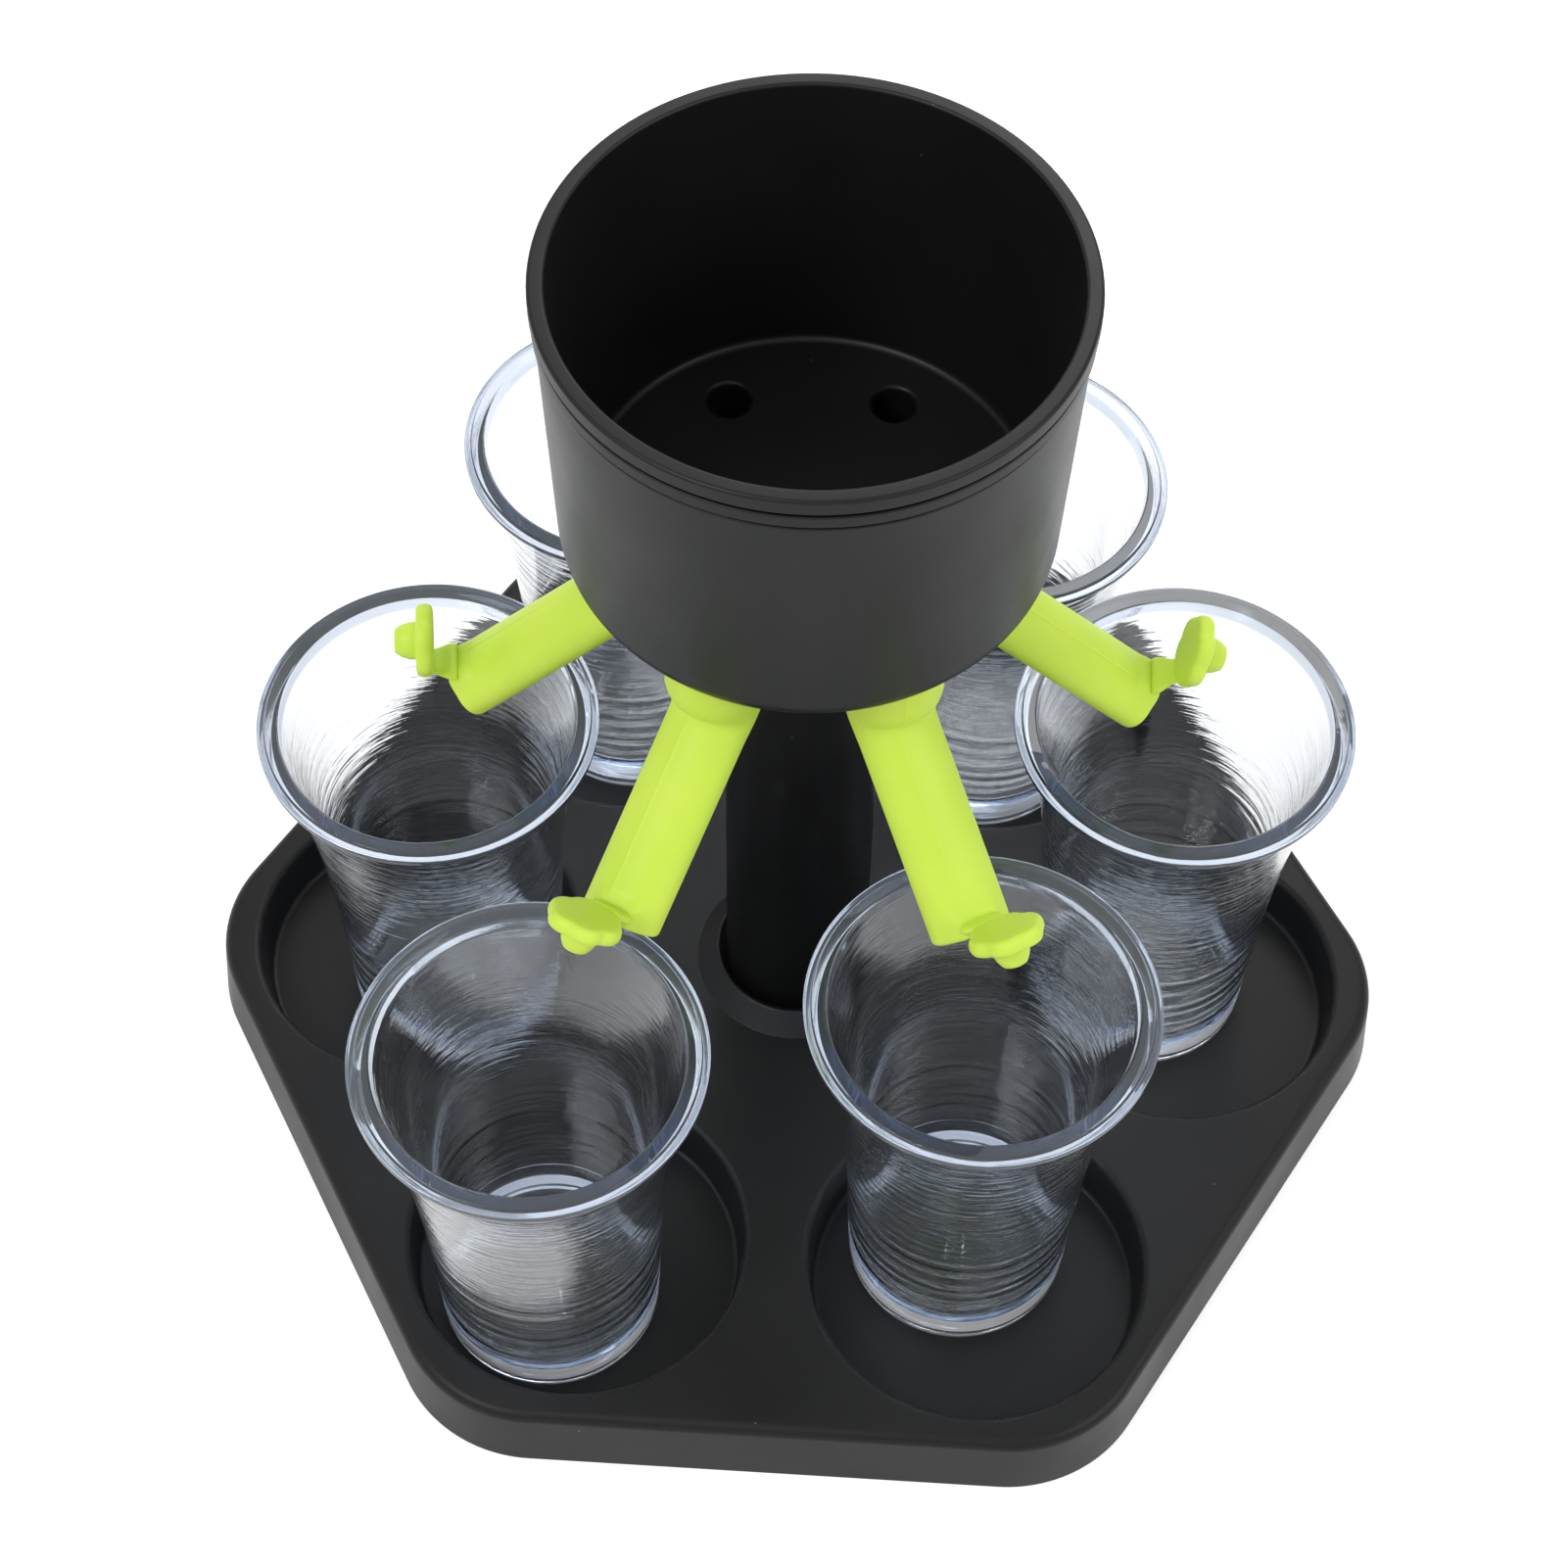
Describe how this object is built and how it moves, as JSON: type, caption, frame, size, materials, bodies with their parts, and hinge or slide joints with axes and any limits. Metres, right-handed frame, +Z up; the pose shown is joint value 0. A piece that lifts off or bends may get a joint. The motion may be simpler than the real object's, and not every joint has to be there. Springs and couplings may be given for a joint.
{
  "type": "drink dispenser",
  "caption": "Bowl on a post that pours through downward-angled silicone spouts with swinging plugs into shot cups on a hexagonal tray.",
  "frame": {"origin": "bottom centre of the tray", "axes": "+Z up along the post, +X towards a corner of the tray, its spout and its cup, -Y towards a flat side of the tray, which is the front"},
  "size_m": [0.1842, 0.1654, 0.1694],
  "materials": {
    "black_plastic": "satin",
    "lime_silicone": "satin",
    "clear_plastic": "clear gloss"
  },
  "bodies": {
    "tray": {"tray": "black_plastic"},
    "post": {"post": "black_plastic"},
    "head": {"bowl": "black_plastic", "spout_1": "lime_silicone", "spout_2": "lime_silicone", "spout_3": "lime_silicone", "spout_4": "lime_silicone", "spout_5": "lime_silicone", "spout_6": "lime_silicone"},
    "strap_1": {"strap_1": "lime_silicone"},
    "plug_1": {"plug_1": "lime_silicone"},
    "strap_2": {"strap_2": "lime_silicone"},
    "plug_2": {"plug_2": "lime_silicone"},
    "strap_3": {"strap_3": "lime_silicone"},
    "plug_3": {"plug_3": "lime_silicone"},
    "strap_4": {"strap_4": "lime_silicone"},
    "plug_4": {"plug_4": "lime_silicone"},
    "strap_5": {"strap_5": "lime_silicone"},
    "plug_5": {"plug_5": "lime_silicone"},
    "strap_6": {"strap_6": "lime_silicone"},
    "plug_6": {"plug_6": "lime_silicone"},
    "cup_1": {"cup_1": "clear_plastic"},
    "cup_2": {"cup_2": "clear_plastic"},
    "cup_3": {"cup_3": "clear_plastic"},
    "cup_4": {"cup_4": "clear_plastic"},
    "cup_5": {"cup_5": "clear_plastic"},
    "cup_6": {"cup_6": "clear_plastic"}
  },
  "joints": [
    {"name": "post_turn", "type": "hinge", "parent": "tray", "child": "post", "pos_m": [0, 0, 0.002], "axis": [0, 0, 1], "continuous": true},
    {"name": "bowl_lift", "type": "slide", "parent": "post", "child": "head", "axis": [0, 0, 1], "range_m": [0, 0.045]},
    {"name": "strap_bend_1", "type": "hinge", "parent": "head", "child": "strap_1", "pos_m": [0.04914, 0.0005, 0.09163], "axis": [0.0105, 0.9999, 0], "range_deg": [0, 69.74]},
    {"name": "plug_swing_1", "type": "hinge", "parent": "strap_1", "child": "plug_1", "pos_m": [0.05196, 0.00047, 0.09315], "axis": [0.0105, 0.9999, 0], "range_deg": [0, 134.3], "stiffness_Nm_per_rad": 0.0003},
    {"name": "strap_bend_2", "type": "hinge", "parent": "head", "child": "strap_2", "pos_m": [0.02308, 0.0434, 0.09163], "axis": [-0.8829, 0.4695, 0], "range_deg": [-40.1, 89.4]},
    {"name": "plug_swing_2", "type": "hinge", "parent": "strap_2", "child": "plug_2", "pos_m": [0.02407, 0.04528, 0.09402], "axis": [-0.8829, 0.4695, 0], "range_deg": [-40, 89.3], "stiffness_Nm_per_rad": 0.0003},
    {"name": "strap_bend_3", "type": "hinge", "parent": "head", "child": "strap_3", "pos_m": [-0.02605, 0.04169, 0.09163], "axis": [-0.848, -0.5299, 0], "range_deg": [-40.1, 89.4]},
    {"name": "plug_swing_3", "type": "hinge", "parent": "strap_3", "child": "plug_3", "pos_m": [-0.02718, 0.04349, 0.09402], "axis": [-0.848, -0.5299, 0], "range_deg": [-40, 89.3], "stiffness_Nm_per_rad": 0.0003},
    {"name": "strap_bend_4", "type": "hinge", "parent": "head", "child": "strap_4", "pos_m": [-0.04897, -0.00382, 0.09163], "axis": [0.1132, -0.9936, 0], "range_deg": [0, 44.92]},
    {"name": "plug_swing_4", "type": "hinge", "parent": "strap_4", "child": "plug_4", "pos_m": [-0.05214, -0.00418, 0.09182], "axis": [0.1132, -0.9936, 0], "range_deg": [0, 178.3], "stiffness_Nm_per_rad": 0.0003},
    {"name": "strap_bend_5", "type": "hinge", "parent": "head", "child": "strap_5", "pos_m": [-0.02332, -0.04327, 0.09163], "axis": [0.878, -0.4787, 0], "range_deg": [-35.81, 99.1]},
    {"name": "plug_swing_5", "type": "hinge", "parent": "strap_5", "child": "plug_5", "pos_m": [-0.02413, -0.04474, 0.09435], "axis": [0.878, -0.4787, 0], "range_deg": [-25, 69.3], "stiffness_Nm_per_rad": 0.0003},
    {"name": "strap_bend_6", "type": "hinge", "parent": "head", "child": "strap_6", "pos_m": [0.02585, -0.04181, 0.09163], "axis": [0.8526, 0.5225, 0], "range_deg": [-40.29, 94.25]},
    {"name": "plug_swing_6", "type": "hinge", "parent": "strap_6", "child": "plug_6", "pos_m": [0.02685, -0.04344, 0.0942], "axis": [0.8526, 0.5225, 0], "range_deg": [-33, 77.3], "stiffness_Nm_per_rad": 0.0003},
    {"name": "cup_tip_1", "type": "hinge", "parent": "tray", "child": "cup_1", "pos_m": [0.07892, 0.0066, 0], "axis": [-0.0833, 0.9965, 0], "range_deg": [0, 45]},
    {"name": "cup_tip_2", "type": "hinge", "parent": "tray", "child": "cup_2", "pos_m": [0.04021, 0.06878, 0], "axis": [-0.8633, 0.5047, 0], "range_deg": [0, 45]},
    {"name": "cup_tip_3", "type": "hinge", "parent": "tray", "child": "cup_3", "pos_m": [-0.044, 0.07621, 0], "axis": [-0.866, -0.5, 0], "range_deg": [0, 45]},
    {"name": "cup_tip_4", "type": "hinge", "parent": "tray", "child": "cup_4", "pos_m": [-0.07778, -0.00318, 0], "axis": [0.0409, -0.9992, 0], "range_deg": [0, 45]},
    {"name": "cup_tip_5", "type": "hinge", "parent": "tray", "child": "cup_5", "pos_m": [-0.06051, -0.10108, 0.004], "axis": [0.858, -0.5136, 0], "range_deg": [0, 45]},
    {"name": "cup_tip_6", "type": "hinge", "parent": "tray", "child": "cup_6", "pos_m": [0.03966, -0.06527, 0], "axis": [0.8546, 0.5193, 0], "range_deg": [0, 45]}
  ],
  "couplings": [
    {"joint": "strap_bend_1", "follows": "plug_swing_1", "ratio": 0.51852},
    {"joint": "strap_bend_2", "follows": "plug_swing_2", "ratio": 1},
    {"joint": "strap_bend_3", "follows": "plug_swing_3", "ratio": 1},
    {"joint": "strap_bend_4", "follows": "plug_swing_4", "ratio": 0.2514},
    {"joint": "strap_bend_5", "follows": "plug_swing_5", "ratio": 1.4286},
    {"joint": "strap_bend_6", "follows": "plug_swing_6", "ratio": 1.2179}
  ]
}
